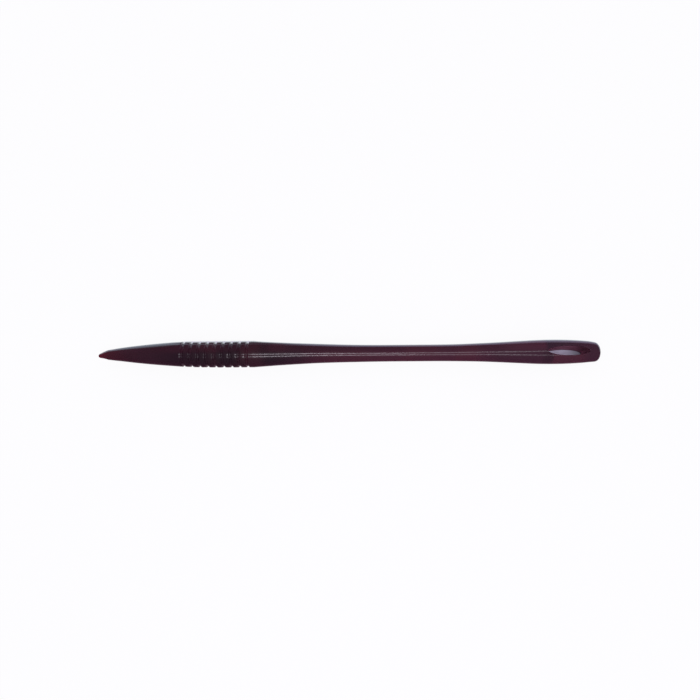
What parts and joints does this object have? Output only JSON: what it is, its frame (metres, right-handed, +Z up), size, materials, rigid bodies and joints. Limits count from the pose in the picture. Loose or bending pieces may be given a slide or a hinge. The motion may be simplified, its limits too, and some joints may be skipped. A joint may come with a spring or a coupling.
{
  "type": "soft plastic worm",
  "caption": "Straight soft fishing worm with a pointed nose, a ringed section, a slender waisted shank and a rounder head with a long oval eye through it.",
  "frame": {"origin": "middle of the worm's length, on the flat surface that it lies on, under its axis", "axes": "+X runs along the worm from its pointed tip to its blunt end with the eye; +Z is up, along the way through the eye; +Y completes the right-handed frame"},
  "size_m": [0.1524, 0.008, 0.008],
  "materials": {
    "soft_plastic": "gloss"
  },
  "bodies": {
    "root": {"worm_body": "soft_plastic"}
  },
  "joints": []
}
